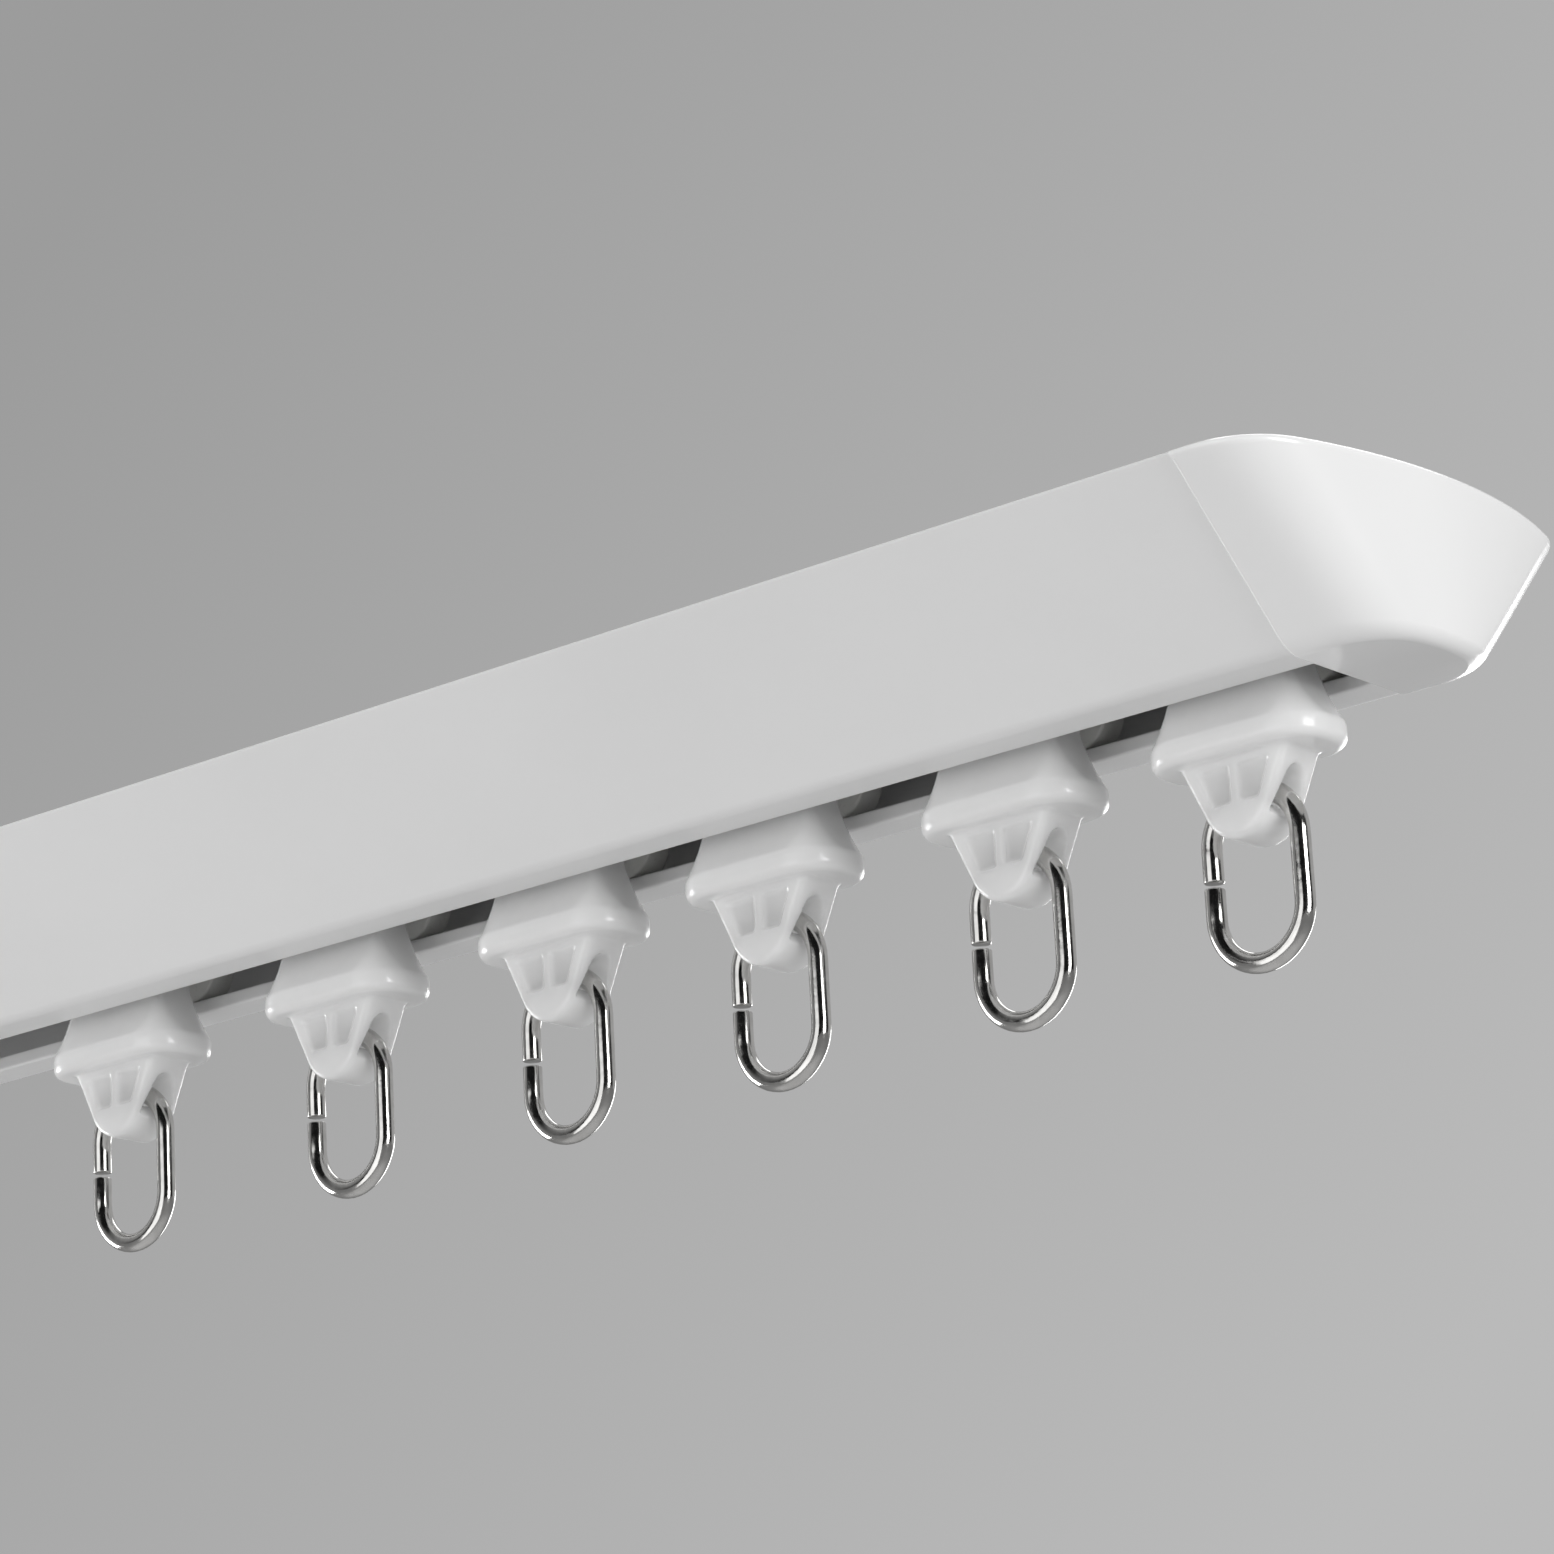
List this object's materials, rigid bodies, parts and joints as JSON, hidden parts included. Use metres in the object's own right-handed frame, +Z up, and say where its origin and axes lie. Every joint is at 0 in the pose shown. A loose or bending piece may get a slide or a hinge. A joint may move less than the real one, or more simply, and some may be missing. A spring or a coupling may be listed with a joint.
{
  "type": "curtain track",
  "caption": "Ceiling curtain track: a white boat-shaped slotted rail with rounded end caps and wheeled gliders that carry split rings for curtain hooks.",
  "frame": {"origin": "middle of the flat top face that goes against the ceiling", "axes": "+X along the rail to the end cap that the gliders stand by, +Z up to the ceiling, -Y to the side that the picture shows"},
  "size_m": [0.5246, 0.0466, 0.0374],
  "materials": {
    "rail_paint": "satin white powder coat on extruded aluminium",
    "cap_plastic": "glossy white moulded plastic",
    "glider_nylon": "milky white moulded nylon",
    "wheel_plastic": "smooth white moulded acetal",
    "axle_steel": "drawn steel wire",
    "ring_nickel": "polished nickel plate on steel wire"
  },
  "bodies": {
    "rail": {"track_rail": "rail_paint", "end_cap_right": "cap_plastic", "end_cap_left": "cap_plastic"},
    "glider_1": {"glider_1": "glider_nylon"},
    "wheelset_1_left": {"glider_1_axle_left": "axle_steel", "glider_1_wheel_left_front": "wheel_plastic", "glider_1_wheel_left_back": "wheel_plastic"},
    "wheelset_1_right": {"glider_1_axle_right": "axle_steel", "glider_1_wheel_right_front": "wheel_plastic", "glider_1_wheel_right_back": "wheel_plastic"},
    "ring_1": {"glider_1_ring": "ring_nickel"},
    "glider_2": {"glider_2": "glider_nylon"},
    "wheelset_2_left": {"glider_2_axle_left": "axle_steel", "glider_2_wheel_left_front": "wheel_plastic", "glider_2_wheel_left_back": "wheel_plastic"},
    "wheelset_2_right": {"glider_2_axle_right": "axle_steel", "glider_2_wheel_right_front": "wheel_plastic", "glider_2_wheel_right_back": "wheel_plastic"},
    "ring_2": {"glider_2_ring": "ring_nickel"},
    "glider_3": {"glider_3": "glider_nylon"},
    "wheelset_3_left": {"glider_3_axle_left": "axle_steel", "glider_3_wheel_left_front": "wheel_plastic", "glider_3_wheel_left_back": "wheel_plastic"},
    "wheelset_3_right": {"glider_3_axle_right": "axle_steel", "glider_3_wheel_right_front": "wheel_plastic", "glider_3_wheel_right_back": "wheel_plastic"},
    "ring_3": {"glider_3_ring": "ring_nickel"},
    "glider_4": {"glider_4": "glider_nylon"},
    "wheelset_4_left": {"glider_4_axle_left": "axle_steel", "glider_4_wheel_left_front": "wheel_plastic", "glider_4_wheel_left_back": "wheel_plastic"},
    "wheelset_4_right": {"glider_4_axle_right": "axle_steel", "glider_4_wheel_right_front": "wheel_plastic", "glider_4_wheel_right_back": "wheel_plastic"},
    "ring_4": {"glider_4_ring": "ring_nickel"},
    "glider_5": {"glider_5": "glider_nylon"},
    "wheelset_5_left": {"glider_5_axle_left": "axle_steel", "glider_5_wheel_left_front": "wheel_plastic", "glider_5_wheel_left_back": "wheel_plastic"},
    "wheelset_5_right": {"glider_5_axle_right": "axle_steel", "glider_5_wheel_right_front": "wheel_plastic", "glider_5_wheel_right_back": "wheel_plastic"},
    "ring_5": {"glider_5_ring": "ring_nickel"},
    "glider_6": {"glider_6": "glider_nylon"},
    "wheelset_6_left": {"glider_6_axle_left": "axle_steel", "glider_6_wheel_left_front": "wheel_plastic", "glider_6_wheel_left_back": "wheel_plastic"},
    "wheelset_6_right": {"glider_6_axle_right": "axle_steel", "glider_6_wheel_right_front": "wheel_plastic", "glider_6_wheel_right_back": "wheel_plastic"},
    "ring_6": {"glider_6_ring": "ring_nickel"}
  },
  "joints": [
    {"name": "glider_1_slide", "type": "slide", "parent": "rail", "child": "glider_1", "axis": [1, 0, 0], "range_m": [-0.0575, 0.0029]},
    {"name": "wheelset_1_left_roll", "type": "hinge", "parent": "glider_1", "child": "wheelset_1_left", "pos_m": [0.2358, 0, -0.00905], "axis": [0, 1, 0], "continuous": true},
    {"name": "wheelset_1_right_roll", "type": "hinge", "parent": "glider_1", "child": "wheelset_1_right", "pos_m": [0.2432, 0, -0.00905], "axis": [0, 1, 0], "continuous": true},
    {"name": "ring_1_swing", "type": "hinge", "parent": "glider_1", "child": "ring_1", "pos_m": [0.2395, 0, -0.0216], "axis": [1, 0, 0], "range_deg": [-15, 15]},
    {"name": "glider_2_slide", "type": "slide", "parent": "glider_1", "child": "glider_2", "axis": [1, 0, 0], "range_m": [-0.0575, 0.007]},
    {"name": "wheelset_2_left_roll", "type": "hinge", "parent": "glider_2", "child": "wheelset_2_left", "pos_m": [0.2109, 0, -0.00905], "axis": [0, 1, 0], "continuous": true},
    {"name": "wheelset_2_right_roll", "type": "hinge", "parent": "glider_2", "child": "wheelset_2_right", "pos_m": [0.2183, 0, -0.00905], "axis": [0, 1, 0], "continuous": true},
    {"name": "ring_2_swing", "type": "hinge", "parent": "glider_2", "child": "ring_2", "pos_m": [0.2146, 0, -0.0216], "axis": [1, 0, 0], "range_deg": [-15, 15]},
    {"name": "glider_3_slide", "type": "slide", "parent": "glider_2", "child": "glider_3", "axis": [1, 0, 0], "range_m": [-0.0575, 0.0094]},
    {"name": "wheelset_3_left_roll", "type": "hinge", "parent": "glider_3", "child": "wheelset_3_left", "pos_m": [0.1836, 0, -0.00905], "axis": [0, 1, 0], "continuous": true},
    {"name": "wheelset_3_right_roll", "type": "hinge", "parent": "glider_3", "child": "wheelset_3_right", "pos_m": [0.191, 0, -0.00905], "axis": [0, 1, 0], "continuous": true},
    {"name": "ring_3_swing", "type": "hinge", "parent": "glider_3", "child": "ring_3", "pos_m": [0.1873, 0, -0.0216], "axis": [1, 0, 0], "range_deg": [-15, 15]},
    {"name": "glider_4_slide", "type": "slide", "parent": "glider_3", "child": "glider_4", "axis": [1, 0, 0], "range_m": [-0.0575, 0.0077]},
    {"name": "wheelset_4_left_roll", "type": "hinge", "parent": "glider_4", "child": "wheelset_4_left", "pos_m": [0.158, 0, -0.00905], "axis": [0, 1, 0], "continuous": true},
    {"name": "wheelset_4_right_roll", "type": "hinge", "parent": "glider_4", "child": "wheelset_4_right", "pos_m": [0.1654, 0, -0.00905], "axis": [0, 1, 0], "continuous": true},
    {"name": "ring_4_swing", "type": "hinge", "parent": "glider_4", "child": "ring_4", "pos_m": [0.1617, 0, -0.0216], "axis": [1, 0, 0], "range_deg": [-15, 15]},
    {"name": "glider_5_slide", "type": "slide", "parent": "glider_4", "child": "glider_5", "axis": [1, 0, 0], "range_m": [-0.0575, 0.0101]},
    {"name": "wheelset_5_left_roll", "type": "hinge", "parent": "glider_5", "child": "wheelset_5_left", "pos_m": [0.13, 0, -0.00905], "axis": [0, 1, 0], "continuous": true},
    {"name": "wheelset_5_right_roll", "type": "hinge", "parent": "glider_5", "child": "wheelset_5_right", "pos_m": [0.1374, 0, -0.00905], "axis": [0, 1, 0], "continuous": true},
    {"name": "ring_5_swing", "type": "hinge", "parent": "glider_5", "child": "ring_5", "pos_m": [0.1337, 0, -0.0216], "axis": [1, 0, 0], "range_deg": [-15, 15]},
    {"name": "glider_6_slide", "type": "slide", "parent": "glider_5", "child": "glider_6", "axis": [1, 0, 0], "range_m": [-0.0575, 0.0118]},
    {"name": "wheelset_6_left_roll", "type": "hinge", "parent": "glider_6", "child": "wheelset_6_left", "pos_m": [0.1003, 0, -0.00905], "axis": [0, 1, 0], "continuous": true},
    {"name": "wheelset_6_right_roll", "type": "hinge", "parent": "glider_6", "child": "wheelset_6_right", "pos_m": [0.1077, 0, -0.00905], "axis": [0, 1, 0], "continuous": true},
    {"name": "ring_6_swing", "type": "hinge", "parent": "glider_6", "child": "ring_6", "pos_m": [0.104, 0, -0.0216], "axis": [1, 0, 0], "range_deg": [-15, 15]}
  ]
}
